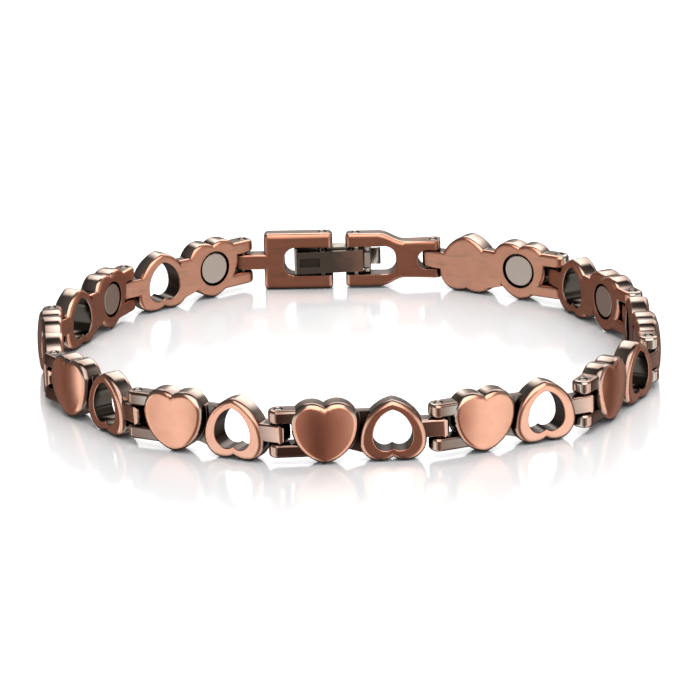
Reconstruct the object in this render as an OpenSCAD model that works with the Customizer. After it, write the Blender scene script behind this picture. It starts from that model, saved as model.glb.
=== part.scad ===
// A closed bracelet of heart links that hinge on upright pins. Each link has a solid heart with a
// magnet in its back and an open heart, and a fold-over clasp joins the two ends. The loop stands
// on its lower edge. Along a link, +X runs from its fork to its tongue, +Y faces the wrist.

/* [Chain] */
// Distance between the two hinge pins of a link
link_pitch = 16.5; // [16:0.1:18]
// Height of the hearts and of the clasp plates
band_h = 6.6; // [6.2:0.1:8]
// Distance from the pin line to the face on the wrist
wrist_y = 1.1; // [1.05:0.05:1.4]

/* [Joints] */
// Diameter of the hinge pins
pin_d = 0.8; // [0.6:0.05:0.9]
// Gap all round a pin in its holes
pin_gap = 0.05; // [0.03:0.01:0.08]
// How deep the ends of a pin lie in their holes
pin_sink = 0.1; // [0.05:0.01:0.2]
// Distance from the pin line to the outer face of the ears
ear_y = 1.1; // [1.05:0.05:1.2]
// How far ears and tongues reach past their pin
ear_reach = 1.05; // [0.95:0.01:1.1]
// Corner radius of ears and tongues, seen from above
ear_r = 0.75; // [0.7:0.01:0.9]
// Height over both ears of a fork
fork_h = 5.1; // [4.6:0.1:5.6]
// Height of a tongue
tongue_h = 1.95; // [1.6:0.05:2.2]
// Gap above and below a tongue in its fork
tongue_gap = 0.12; // [0.08:0.01:0.2]
// How far the outer face of a tongue lies behind the ears
tongue_setback = 0.15; // [0.05:0.05:0.3]
// Corner radius of a tongue's end, seen from the side
tongue_tip_r = 0.7; // [0.4:0.05:0.8]
// Depth of a fork behind its pin
fork_depth = 1.35; // [1.3:0.01:1.5]

/* [Hearts] */
// Width of a heart
heart_w = 7; // [6.6:0.1:7.1]
// Radius of the two lobes
lobe_r = 2.2; // [2:0.05:2.4]
// Distance from a fork's pin to the solid heart
heart_edge = 1.2; // [1.2:0.05:1.4]
// Distance from the open heart to the tongue's pin
open_edge = 1.3; // [1.25:0.05:1.4]
// How far the rim of a heart stands proud of the ears
rim_proud = 0.15; // [0.05:0.05:0.3]
// Rise of a solid heart's face over its rim
dome_rise = 0.5; // [0.2:0.05:0.8]
// Width of the opening in an open heart
hole_w = 4.1; // [3.4:0.1:4.3]
// Height of the opening in an open heart
hole_h = 4.4; // [3.6:0.1:4.6]
// Lobe radius of the opening
hole_lobe_r = 1.25; // [1.05:0.05:1.5]
// Metal above the opening
hole_top = 1; // [0.8:0.05:1.4]
// Height of the bridge between two hearts
bridge_h = 4; // [3:0.1:4.4]
// Distance from the pin line to the bridge's outer face
bridge_y = 0.3; // [0.1:0.05:0.6]
// Metal between the bridge's end and the opening
bridge_wall = 0.25; // [0.15:0.05:0.35]
// Radius of the upright rib on the bridge
rib_r = 0.22; // [0.15:0.01:0.3]

/* [Magnets] */
// Diameter of a magnet
magnet_d = 3.5; // [2.8:0.1:3.6]
// Thickness of a magnet
magnet_t = 0.9; // [0.6:0.05:1.1]
// Gap around a magnet in its recess
magnet_gap = 0.25; // [0.1:0.05:0.4]
// Gap under a magnet
magnet_seat = 0.02; // [0.01:0.01:0.05]
// How far a magnet's face lies behind the link's face
magnet_sink = 0.1; // [0.05:0.05:0.3]
// Height of a magnet's centre over the middle of the band
magnet_rise = 0.2; // [0:0.05:0.3]

/* [Clasp plates] */
// Length of the forked plate from its hinge pin to its open end
fork_plate_l = 10; // [9.8:0.1:10.6]
// How far the forked plate stays inside the band, above and below
plate_margin = 0.15; // [0:0.05:0.3]
// Gap between the two plates
plate_gap = 1.5; // [1.2:0.1:2]
// Height of the forked plate's neck
neck_h = 4.3; // [4:0.1:4.8]
// Length of the neck from the hinge pin
neck_l = 3.2; // [2.9:0.1:3.4]
// Length of the shoulder between neck and plate
shoulder_l = 3; // [2.4:0.1:3.2]
// How far the forked plate's ears reach past their pin
plate_ear_reach = 0.85; // [0.8:0.01:1.05]
// Depth of the forked plate's fork behind its pin
plate_fork_depth = 1.75; // [1.7:0.05:1.9]
// Distance from the hinge pin to the slot in the forked plate
fork_plate_web = 4.25; // [3.6:0.05:4.4]
// Metal between the slot and the far edge of the tongued plate
tongue_plate_web = 2.3; // [1.8:0.1:2.8]
// Length of the tongued plate's tongue, from the plate to the pin
plate_tongue_l = 2.5; // [2.4:0.1:2.7]
// Height of the tongued plate's tongue
plate_tongue_h = 1.75; // [1.6:0.05:1.9]
// Height of the slots in the plates
slot_h = 3.3; // [3.2:0.05:3.6]
// Corner radius at the closed end of a slot
slot_r = 1.3; // [1:0.05:1.4]
// Corner radius of the plates
plate_r = 0.5; // [0.3:0.05:0.8]
// Diameter of the cross pins
cross_pin_d = 0.8; // [0.6:0.05:0.85]
// Distance from a plate's open end to its cross pin
cross_pin_inset = 1.15; // [1.05:0.05:1.3]

/* [Clasp blades] */
// Gap between the cover and the long sides of the slots
cover_side_gap = 0.15; // [0.1:0.01:0.2]
// Gap between the cover's end and the closed end of the tongued plate's slot
cover_end_gap = 1.15; // [0.9:0.05:1.3]
// Metal thickness of the cover
cover_t = 0.4; // [0.35:0.01:0.45]
// Distance from the pin line to the cover's outer face
cover_y = 1.25; // [1.22:0.01:1.4]
// How far the cover's flanges reach past the pin line, to the wrist
flange_y = 0.35; // [0.2:0.05:0.4]
// Length of the cover's tail behind its hinge
tail_l = 1.5; // [1.2:0.1:1.8]
// Height of the tail
tail_h = 1.9; // [1.4:0.1:2.2]
// Distance from the forked plate's cross pin to the cover's hinge
hinge_offset = 1.3; // [1.25:0.05:1.4]
// Diameter of the cover's hinge pin
hinge_pin_d = 0.4; // [0.36:0.02:0.46]
// Radius of the hinge's knuckles
knuckle_r = 0.38; // [0.34:0.01:0.42]
// Height of the blade's knuckle
knuckle_h = 1.7; // [1.4:0.1:1.8]
// Running gap between the knuckles, and between cover and blade
run_gap = 0.08; // [0.05:0.01:0.12]
// Height of the blade
blade_h = 2.5; // [2.2:0.05:2.7]
// Thickness of the blade
blade_t = 0.5; // [0.4:0.05:0.55]
// Distance from the pin line to the blade's wrist face, at its hinge end
blade_y = 1.05; // [1:0.05:1.15]
// Slope of the blade, away from its hinge
blade_tilt = 6; // [3:0.5:7]
// Radius of the blade's eye on the cross pin
eye_r = 0.68; // [0.62:0.01:0.72]
// Gap between the eye and the cover's flanges
eye_gap = 0.2; // [0.1:0.05:0.3]
// Length of the sunk window near the blade's free end
window_l = 2.3; // [1.6:0.1:2.6]
// Height of the window
window_h = 1.1; // [0.8:0.1:1.6]
// Depth of the window
window_depth = 0.22; // [0.1:0.01:0.3]

/* [Hidden] */
$fn = 64;
over = 0.5;
// Directions of the eleven links, in degrees, from the tongued plate round to the forked plate
route = [-143, -116.5, -86.5, -55.5, -27.5, 2.5, 23, 62, 92.5, 116.5, 148];
link_count = len(route);

mid = band_h / 2;
rim_y = ear_y + rim_proud;
heart_x = heart_edge + heart_w / 2;
open_x = link_pitch - open_edge - heart_w / 2;
hole_r = pin_d / 2 + pin_gap;
fork_slot_h = tongue_h + 2 * tongue_gap;
hole_z = band_h / 2 - hole_top - hole_h / 2;
bridge_reach = hole_w / 2 + bridge_wall;
recess_r = magnet_d / 2 + magnet_gap;
recess_depth = magnet_sink + magnet_t + magnet_seat;
cross_r = cross_pin_d / 2;
cross_hole_r = cross_r + pin_gap;

// Pins of the chain before it is centred: the first carries the tongued plate
function step(k) = link_pitch * [cos(route[k]), sin(route[k])];
function raw_pin(k) = k == 0 ? [0, 0] : raw_pin(k - 1) + step(k - 1);
clasp_gap = -raw_pin(link_count);
clasp_span = norm(clasp_gap);
clasp_turn = atan2(clasp_gap.y, clasp_gap.x);

fork_plate_h = band_h - 2 * plate_margin;
tongue_plate_x = fork_plate_l + plate_gap;
tongue_plate_end = clasp_span - plate_tongue_l;
fork_cross_x = fork_plate_l - cross_pin_inset;
tongue_cross_x = tongue_plate_x + cross_pin_inset;
hinge_x = fork_cross_x - hinge_offset;
cover_h = slot_h - 2 * cover_side_gap;
cover_end_x = tongue_plate_end - tongue_plate_web - cover_end_gap;
eye_h = cover_h - 2 * cover_t - 2 * eye_gap;
blade_x = hinge_x + knuckle_r + run_gap;
blade_l = (cover_end_x - cover_t - blade_x) / cos(blade_tilt);
flange_x = fork_plate_l - 0.25;
notch_w = cross_pin_d + 0.2;

// A point given along a link and across it, with the wrist on the left
function turned(p, a) = [p.x * cos(a) - p.y * sin(a), p.x * sin(a) + p.y * cos(a)];
rims = [
    for (k = [0 : link_count - 1], p = [[heart_x, -rim_y - dome_rise], [heart_edge, -rim_y],
                                        [link_pitch - open_edge, -rim_y]])
        raw_pin(k) + turned(p, route[k])
];
clasp_rims = [
    for (p = [[fork_plate_l, -ear_y], [cover_end_x, -cover_y], [tongue_plate_end, -ear_y]])
        raw_pin(link_count) + turned(p, clasp_turn)
];
outer = concat(rims, clasp_rims);
xs = [for (p = outer) p.x];
ys = [for (p = outer) p.y];
centre = [(min(xs) + max(xs)) / 2, (min(ys) + max(ys)) / 2];

function name(stem, k) = str(stem, "_", k + 1);

copper = [0.76, 0.47, 0.37];
bright_pin = [0.8, 0.74, 0.68];
silver = [0.72, 0.71, 0.68];
gunmetal = [0.36, 0.34, 0.32];

// Puts a link, or what belongs to it, in its place in the chain
module at_link(k) {
    translate([raw_pin(k).x - centre.x, raw_pin(k).y - centre.y, mid])
        rotate([0, 0, route[k]])
            children();
}

module at_clasp() {
    translate([raw_pin(link_count).x - centre.x, raw_pin(link_count).y - centre.y, mid])
        rotate([0, 0, clasp_turn])
            children();
}

// An upright outline given thickness between two distances from the pin line
module upright(outer_y, inner_y) {
    translate([0, inner_y, 0])
        rotate([90, 0, 0])
            linear_extrude(outer_y + inner_y)
                children();
}

module slab(x0, x1, y0, y1, h) {
    translate([x0, y0, -h / 2])
        cube([x1 - x0, y1 - y0, h]);
}

// A heart with its tip down: two lobes over two side arcs that meet at the tip
module heart_outline(w, h, r) {
    drop = h - r;
    side_r = (drop * drop + w * w / 4) / w;
    translate([0, h / 2 - r]) {
        for (side = [-1, 1])
            translate([side * (w / 2 - r), 0])
                circle(r);
        intersection() {
            translate([w / 2 - side_r, 0])
                circle(side_r, $fn = 128);
            translate([side_r - w / 2, 0])
                circle(side_r, $fn = 128);
            translate([-w / 2, -drop - over])
                square([w, drop + over]);
        }
    }
}

module solid_heart() {
    dome_r = (dome_rise * dome_rise + heart_w * heart_w / 4) / (2 * dome_rise);
    intersection() {
        upright(rim_y + dome_rise, wrist_y)
            heart_outline(heart_w, band_h, lobe_r);
        translate([0, dome_r - rim_y - dome_rise, 0])
            sphere(dome_r, $fn = 96);
    }
}

module turned_heart() {
    upright(rim_y, wrist_y)
        rotate(180)
            heart_outline(heart_w, band_h, lobe_r);
}

// Rounded end of an ear or tongue seen from above, with its pin at the origin
module joint_plan(l, front, reach) {
    for (y = [wrist_y - ear_r, ear_r - front])
        translate([ear_r - reach, y])
            circle(ear_r);
    translate([-reach, ear_r - front])
        square([l + reach, wrist_y + front - 2 * ear_r]);
    translate([ear_r - reach, -front])
        square([l + reach - ear_r, wrist_y + front]);
}

module joint_block(l, h, front, reach = ear_reach) {
    translate([0, 0, -h / 2])
        linear_extrude(h)
            joint_plan(l, front, reach);
}

// A tongue that starts at from_x and ends round the pin at pin_x, with rounded tip corners
module tongue(from_x, pin_x, h) {
    l = pin_x - from_x;
    translate([pin_x, 0, 0])
        mirror([1, 0, 0])
            intersection() {
                joint_block(l, h, ear_y - tongue_setback);
                upright(ear_y, wrist_y) {
                    for (side = [-1, 1])
                        translate([tongue_tip_r - ear_reach, side * (h / 2 - tongue_tip_r)])
                            circle(tongue_tip_r);
                    translate([-ear_reach, tongue_tip_r - h / 2])
                        square([ear_reach + l, h - 2 * tongue_tip_r]);
                    translate([tongue_tip_r - ear_reach, -h / 2])
                        square([ear_reach + l - tongue_tip_r, h]);
                }
            }
}

module pin_hole(x, r) {
    translate([x, 0, 0])
        cylinder(h = band_h + 2 * over, r = r, center = true);
}

module bridge() {
    slab(heart_x + bridge_reach, open_x - bridge_reach, -bridge_y, wrist_y, bridge_h);
    translate([(heart_x + open_x) / 2, -bridge_y, 0])
        cylinder(h = bridge_h, r = rib_r, center = true);
}

module magnet_recess() {
    translate([heart_x, wrist_y + over, magnet_rise])
        rotate([90, 0, 0])
            cylinder(h = recess_depth + over, r = recess_r);
}

// What both kinds of link share, round a second heart that the caller gives
module link_body() {
    difference() {
        union() {
            translate([heart_x, 0, 0])
                solid_heart();
            joint_block(heart_x, fork_h, ear_y);
            bridge();
            translate([open_x, 0, 0])
                children();
            tongue(open_x + bridge_reach, link_pitch, tongue_h);
        }
        slab(-ear_reach - over, fork_depth, -rim_y - over, wrist_y + over, fork_slot_h);
        pin_hole(0, hole_r);
        pin_hole(link_pitch, hole_r);
        magnet_recess();
    }
}

module heart_link(k) {
    color(copper)
        at_link(k)
            difference() {
                link_body()
                    turned_heart();
                translate([open_x, 0, hole_z])
                    upright(rim_y + over, wrist_y + over)
                        rotate(180)
                            heart_outline(hole_w, hole_h, hole_lobe_r);
            }
}

module end_link() {
    color(copper)
        at_link(link_count - 1)
            link_body()
                rotate([0, 180, 0])
                    solid_heart();
}

module magnet(k) {
    color(silver)
        at_link(k)
            translate([heart_x, wrist_y - magnet_sink, magnet_rise])
                rotate([90, 0, 0])
                    cylinder(h = magnet_t, d = magnet_d);
}

// The pin in front of link k, and the last one in the forked plate's lower neck
module hinge_pin(k) {
    h = (k < link_count ? fork_h : neck_h) - 2 * pin_sink;
    color(bright_pin)
        translate([raw_pin(k).x - centre.x, raw_pin(k).y - centre.y, mid])
            cylinder(h = h, d = pin_d, center = true);
}

module rounded_plate(x0, x1, h) {
    for (x = [x0 + plate_r, x1 - plate_r], z = [plate_r - h / 2, h / 2 - plate_r])
        translate([x, z])
            circle(plate_r);
    translate([x0, plate_r - h / 2])
        square([x1 - x0, h - 2 * plate_r]);
    translate([x0 + plate_r, -h / 2])
        square([x1 - x0 - 2 * plate_r, h]);
}

// A slot that is closed and rounded at x0 and open at x1
module slot_outline(x0, x1) {
    way = x1 > x0 ? 1 : -1;
    for (z = [slot_r - slot_h / 2, slot_h / 2 - slot_r])
        translate([x0 + way * slot_r, z])
            circle(slot_r);
    translate([min(x0, x1), slot_r - slot_h / 2])
        square([abs(x1 - x0), slot_h - 2 * slot_r]);
    translate([min(x0 + way * slot_r, x1), -slot_h / 2])
        square([abs(x1 - x0) - slot_r, slot_h]);
}

// Half the height of the forked plate between its neck and its full height
function shoulder(s) = neck_h / 2 + (fork_plate_h - neck_h) / 2 * (1 - cos(180 * s)) / 2;

module shoulder_outline() {
    steps = 12;
    top = [for (i = [0 : steps]) [neck_l + shoulder_l * i / steps, shoulder(i / steps)]];
    polygon(concat(top, [for (i = [steps : -1 : 0]) [top[i].x, -top[i].y]]));
}

module forked_plate() {
    color(copper)
        at_clasp()
            difference() {
                union() {
                    joint_block(neck_l + over, neck_h, ear_y, plate_ear_reach);
                    upright(ear_y, wrist_y) {
                        shoulder_outline();
                        intersection() {
                            rounded_plate(neck_l + shoulder_l - 2 * plate_r, fork_plate_l,
                                          fork_plate_h);
                            translate([neck_l + shoulder_l, -fork_plate_h / 2])
                                square([fork_plate_l, fork_plate_h]);
                        }
                    }
                }
                upright(ear_y + over, wrist_y + over) {
                    translate([plate_fork_depth - fork_slot_h / 2, 0])
                        circle(d = fork_slot_h);
                    translate([-ear_reach - over, -fork_slot_h / 2])
                        square([ear_reach + over + plate_fork_depth - fork_slot_h / 2, fork_slot_h]);
                    slot_outline(fork_plate_web, fork_plate_l + over);
                }
                pin_hole(0, hole_r);
                pin_hole(fork_cross_x, cross_hole_r);
            }
}

module tongued_plate() {
    color(copper)
        at_clasp()
            difference() {
                union() {
                    upright(ear_y, wrist_y)
                        rounded_plate(tongue_plate_x, tongue_plate_end, band_h);
                    tongue(tongue_plate_end - plate_r, clasp_span, plate_tongue_h);
                }
                upright(ear_y + over, wrist_y + over)
                    slot_outline(tongue_plate_end - tongue_plate_web, tongue_plate_x - over);
                pin_hole(clasp_span, hole_r);
                pin_hole(tongue_cross_x, cross_hole_r);
            }
}

module cross_pin(x, plate_h) {
    color(bright_pin)
        at_clasp()
            translate([x, 0, 0])
                cylinder(h = plate_h - 2 * pin_sink, r = cross_r, center = true);
}

// The flat of the blade, which slopes away from its hinge and has a bare sunk window
module blade_flat() {
    translate([blade_x, blade_y, 0])
        rotate([0, 0, blade_tilt])
            difference() {
                slab(0, blade_l, -blade_t, 0, blade_h);
                slab(blade_l - blade_t / 2 - window_l, blade_l - blade_t / 2, -window_depth, over,
                     window_h);
            }
}

module clasp_blade() {
    stem_w = eye_r;
    stem_y = blade_y + (tongue_cross_x - blade_x) * tan(blade_tilt) - blade_t / 2;
    color(gunmetal)
        at_clasp()
            difference() {
                union() {
                    blade_flat();
                    slab(hinge_x, blade_x + blade_t / 2, 0.1, blade_y - 0.1, knuckle_h);
                    translate([hinge_x, 0, 0])
                        cylinder(h = knuckle_h, r = knuckle_r, center = true);
                    slab(tongue_cross_x - stem_w / 2, tongue_cross_x + stem_w / 2, 0, stem_y, eye_h);
                    translate([tongue_cross_x, 0, 0])
                        cylinder(h = eye_h, r = eye_r, center = true);
                }
                translate([tongue_cross_x, 0, 0])
                    cylinder(h = eye_h + over, r = cross_hole_r, center = true);
                translate([hinge_x, 0, 0])
                    cylinder(h = knuckle_h + over, r = hinge_pin_d / 2 + pin_gap, center = true);
            }
}

module clasp_hinge_pin() {
    color(bright_pin)
        at_clasp()
            translate([hinge_x, 0, 0])
                cylinder(h = cover_h - 2 * pin_sink, d = hinge_pin_d, center = true);
}

// The cover is a channel whose flanges clip over the cross pin, with lugs on its hinge and a tail
module clasp_cover() {
    lug_z = knuckle_h / 2 + run_gap;
    lug_h = cover_h / 2 - lug_z;
    web_y = cover_y - cover_t;
    color(gunmetal)
        at_clasp()
            difference() {
                union() {
                    slab(hinge_x - knuckle_r, cover_end_x, -cover_y, -web_y, cover_h);
                    slab(hinge_x - tail_l, hinge_x, -cover_y, -web_y, tail_h);
                    slab(cover_end_x - cover_t, cover_end_x, -cover_y, blade_y - run_gap, cover_h);
                    for (side = [-1, 1]) {
                        translate([0, 0, side * (cover_h - cover_t) / 2])
                            slab(flange_x, cover_end_x, -cover_y, flange_y, cover_t);
                        translate([0, 0, side * (lug_z + lug_h / 2)]) {
                            slab(hinge_x - knuckle_r, hinge_x + knuckle_r, -cover_y, 0, lug_h);
                            translate([hinge_x, 0, 0])
                                cylinder(h = lug_h, r = knuckle_r, center = true);
                        }
                    }
                }
                translate([tongue_cross_x, 0, 0])
                    cylinder(h = cover_h + over, d = notch_w, center = true);
                slab(tongue_cross_x - notch_w / 2, tongue_cross_x + notch_w / 2, 0,
                     flange_y + over, cover_h + over);
                translate([hinge_x, 0, 0])
                    cylinder(h = cover_h + over, r = hinge_pin_d / 2 + pin_gap, center = true);
            }
}

for (k = [0 : link_count - 2])
    heart_link(k);
end_link();
for (k = [0 : link_count - 1])
    magnet(k);
for (k = [0 : link_count])
    hinge_pin(k);
forked_plate();
tongued_plate();
cross_pin(fork_cross_x, fork_plate_h);  // forked_plate_pin
cross_pin(tongue_cross_x, band_h);  // tongued_plate_pin
clasp_blade();
clasp_hinge_pin();
clasp_cover();
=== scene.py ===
import math

import bpy
from mathutils import Matrix, Vector


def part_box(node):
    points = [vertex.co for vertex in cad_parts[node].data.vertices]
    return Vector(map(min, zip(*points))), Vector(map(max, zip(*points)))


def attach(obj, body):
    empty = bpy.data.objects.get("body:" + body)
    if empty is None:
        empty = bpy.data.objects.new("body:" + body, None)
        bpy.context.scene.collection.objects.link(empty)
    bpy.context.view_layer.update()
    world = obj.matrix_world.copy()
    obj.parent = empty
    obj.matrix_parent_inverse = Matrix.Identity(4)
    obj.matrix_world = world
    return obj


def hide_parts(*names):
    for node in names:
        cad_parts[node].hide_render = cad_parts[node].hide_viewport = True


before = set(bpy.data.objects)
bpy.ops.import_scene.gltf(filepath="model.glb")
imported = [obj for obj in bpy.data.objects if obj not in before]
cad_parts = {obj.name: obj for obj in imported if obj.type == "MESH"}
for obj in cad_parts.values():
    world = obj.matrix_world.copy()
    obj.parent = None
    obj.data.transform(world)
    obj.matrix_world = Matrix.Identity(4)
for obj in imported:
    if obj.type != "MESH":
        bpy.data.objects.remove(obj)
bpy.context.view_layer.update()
print("frame loaded")

# Lengths of the pieces are in millimetres, and each piece is made small when it is put in its place
mm = 0.001
overshoot = 0.5         # of a cutting tool past the face it cuts
through = (-3, 3)       # a cut right through the band
near = 0.01             # a corner closer than this to a plane counts as in it


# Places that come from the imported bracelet

def middleOf(node):
    low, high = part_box(node)
    return (low + high) / 2


pinCount = 12
hingePins = [middleOf(f"hinge_pin_{k + 1}") for k in range(pinCount)]
linkCount = pinCount - 1
linkLow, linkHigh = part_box("heart_link_1")
bandHeight = (linkHigh.z - linkLow.z) / mm
linkPitch = (hingePins[1] - hingePins[0]).length / mm
claspSpan = (hingePins[0] - hingePins[-1]).length / mm


def headingFrom(a, b):
    return math.atan2(b.y - a.y, b.x - a.x)


# Bench tools

def holdOnly(piece):
    if bpy.context.mode != "OBJECT":
        bpy.ops.object.mode_set(mode="OBJECT")
    bpy.ops.object.select_all(action="DESELECT")
    if piece is not None:
        piece.select_set(True)
        bpy.context.view_layer.objects.active = piece


def editWhole(piece):  # goes into edit mode with all of the piece picked
    holdOnly(piece)
    bpy.ops.object.mode_set(mode="EDIT")
    bpy.ops.mesh.select_all(action="SELECT")


def pick(piece, kind, test):  # goes into edit mode with the corners, edges or faces that pass the test
    holdOnly(piece)
    mesh = piece.data
    for parts in (mesh.vertices, mesh.edges, mesh.polygons):
        parts.foreach_set("select", [False] * len(parts))
    bpy.context.tool_settings.mesh_select_mode = (kind == "VERT", kind == "EDGE", kind == "FACE")
    corners = mesh.vertices
    if kind == "VERT":
        for corner in corners:
            corner.select = test(corner.co)
    elif kind == "EDGE":
        for edge in mesh.edges:
            edge.select = test(corners[edge.vertices[0]].co, corners[edge.vertices[1]].co)
    else:
        for face in mesh.polygons:
            face.select = test(face.center, face.normal)
    bpy.ops.object.mode_set(mode="EDIT")


def bevel(width, segments):  # on what is picked
    bpy.ops.mesh.bevel(offset=width, segments=segments, affect="EDGES", clamp_overlap=False)
    bpy.ops.object.mode_set(mode="OBJECT")


def roundEdges(piece, width, segments, test):
    pick(piece, "EDGE", test)
    bevel(width, segments)


def roundSharp(piece, width, segments, test=lambda a, b: True, angle=25):
    # Only the sharp ones of the edges that pass the test
    pick(piece, "EDGE", lambda a, b: False)
    bpy.ops.mesh.edges_select_sharp(sharpness=math.radians(angle))
    bpy.ops.object.mode_set(mode="OBJECT")
    corners = piece.data.vertices
    sharp = [edge.select for edge in piece.data.edges]
    pick(piece, "EDGE", lambda a, b: False)
    bpy.ops.object.mode_set(mode="OBJECT")
    for edge, isSharp in zip(piece.data.edges, sharp):
        edge.select = isSharp and test(corners[edge.vertices[0]].co, corners[edge.vertices[1]].co)
    bpy.ops.object.mode_set(mode="EDIT")
    bevel(width, segments)


def extrude(x, y, z):  # what is picked
    bpy.ops.mesh.extrude_region_move(TRANSFORM_OT_translate={"value": (x, y, z)})


def centred(length, at=0.0):  # both ends of a length with its middle there
    return (at - length / 2, at + length / 2)


def block(name, x, y, z):
    holdOnly(None)
    size = (x[1] - x[0], y[1] - y[0], z[1] - z[0])
    at = ((x[0] + x[1]) / 2, (y[0] + y[1]) / 2, (z[0] + z[1]) / 2)
    bpy.ops.mesh.primitive_cube_add(size=1, location=at, scale=size)
    piece = bpy.context.object
    piece.name = name
    bpy.ops.object.transform_apply()
    return piece


def rod(name, radius, length, at, along="Z", sides=48):
    holdOnly(None)
    turn = (math.pi / 2, 0, 0) if along == "Y" else (0, 0, 0)
    bpy.ops.mesh.primitive_cylinder_add(vertices=sides, radius=radius, depth=length, location=at,
                                        rotation=turn)
    piece = bpy.context.object
    piece.name = name
    bpy.ops.object.transform_apply()
    return piece


def slide(piece, x):
    holdOnly(piece)
    bpy.ops.transform.translate(value=(x, 0, 0))
    bpy.ops.object.transform_apply()


def combine(piece, other, how="UNION"):
    holdOnly(piece)
    work = piece.modifiers.new("Combine", "BOOLEAN")
    work.object = other
    work.operation = how
    work.solver = "EXACT"
    bpy.ops.object.modifier_apply(modifier=work.name)
    bpy.data.objects.remove(other)
    return piece


def carve(piece, tool):
    return combine(piece, tool, "DIFFERENCE")


def keepInCorners(piece, name, valueOf):
    kept = piece.data.attributes.new(name, "FLOAT_VECTOR", "POINT")
    for corner, entry in zip(piece.data.vertices, kept.data):
        entry.vector = valueOf(corner.co)


def smoothFinish(piece, marksOf=None, angle=32):
    # The materials follow each piece by its coordinates on the bench, and by how far every corner of it
    # is rubbed bright, turned brown by patina and painted shade, and darkened by painted shade
    holdOnly(piece)
    bpy.ops.object.shade_smooth_by_angle(angle=math.radians(angle))
    even = piece.modifiers.new("Even Shading", "WEIGHTED_NORMAL")
    even.keep_sharp = True
    even.weight = 80
    bpy.ops.object.modifier_apply(modifier=even.name)
    keepInCorners(piece, "benchPlace", lambda corner: corner)
    if marksOf is not None:
        keepInCorners(piece, "wearAndShadeMarks", marksOf)


def softenAll(piece, width, angle=35):
    holdOnly(piece)
    soft = piece.modifiers.new("Soft Edges", "BEVEL")
    soft.width = width
    soft.segments = 3
    soft.limit_method = "ANGLE"
    soft.angle_limit = math.radians(angle)
    bpy.ops.object.modifier_apply(modifier=soft.name)


def rise(value, low, high):
    share = min(max((value - low) / (high - low), 0.0), 1.0)
    return share * share * (3 - 2 * share)


def putInPlace(piece, pin, heading):
    holdOnly(piece)
    piece.scale = (mm, mm, mm)
    piece.rotation_euler = (0, 0, heading)
    piece.location = pin
    bpy.ops.object.transform_apply()


def copyOf(piece, name):
    holdOnly(piece)
    bpy.ops.object.duplicate(linked=False)
    made = bpy.context.object
    made.name = name
    made.data.name = name
    return made


def finishPiece(piece, node, body, material):
    piece.data.materials.clear()
    piece.data.materials.append(material)
    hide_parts(node)
    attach(piece, body)
    piece.name = node + "_finished"


# Finishes

def nodeGroup(name, inputs, outputs):
    group = bpy.data.node_groups.new(name, "ShaderNodeTree")
    for label, kind, value in inputs:
        socket = group.interface.new_socket(label, in_out="INPUT", socket_type=kind)
        socket.default_value = value
    for label, kind in outputs:
        group.interface.new_socket(label, in_out="OUTPUT", socket_type=kind)
    return group, group.nodes.new("NodeGroupInput"), group.nodes.new("NodeGroupOutput")


def addNode(tree, kind, **settings):
    node = tree.nodes.new(kind)
    for key, value in settings.items():
        setattr(node, key, value)
    return node


def plug(tree, socket, given):  # a number or a colour is set, and anything else is linked
    if isinstance(given, (int, float, tuple)):
        socket.default_value = given
    else:
        tree.links.new(given, socket)


def calculate(tree, operation, a, b=None, c=None, clamp=False):
    node = addNode(tree, "ShaderNodeMath", operation=operation, use_clamp=clamp)
    for socket, given in zip(node.inputs, (a, b, c)):
        if given is not None:
            plug(tree, socket, given)
    return node.outputs[0]


def remap(tree, value, low, high):
    node = addNode(tree, "ShaderNodeMapRange", interpolation_type="SMOOTHSTEP")
    for socket, given in zip(node.inputs[:3], (value, low, high)):
        plug(tree, socket, given)
    return node.outputs[0]


def blendColours(tree, share, a, b, how="MIX"):
    node = addNode(tree, "ShaderNodeMix", data_type="RGBA", blend_type=how)
    for socket, given in zip((node.inputs[0], node.inputs[6], node.inputs[7]), (share, a, b)):
        plug(tree, socket, given)
    return node.outputs[2]


def noise(tree, vector, scale, detail):
    node = addNode(tree, "ShaderNodeTexNoise")
    plug(tree, node.inputs["Vector"], vector)
    plug(tree, node.inputs["Scale"], scale)
    plug(tree, node.inputs["Detail"], detail)
    return node.outputs["Fac"]


def keptWithPiece(tree, name):
    return addNode(tree, "ShaderNodeAttribute", attribute_name=name).outputs["Vector"]


def axesOf(tree, vector):
    split = addNode(tree, "ShaderNodeSeparateXYZ")
    tree.links.new(vector, split.inputs[0])
    return split.outputs


def cornersOf(tree, reach, light, dark):  # how far a place lies in a corner or a gap
    shade = addNode(tree, "ShaderNodeAmbientOcclusion", samples=6)
    plug(tree, shade.inputs["Distance"], reach)
    return remap(tree, shade.outputs["AO"], light, dark)


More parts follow.
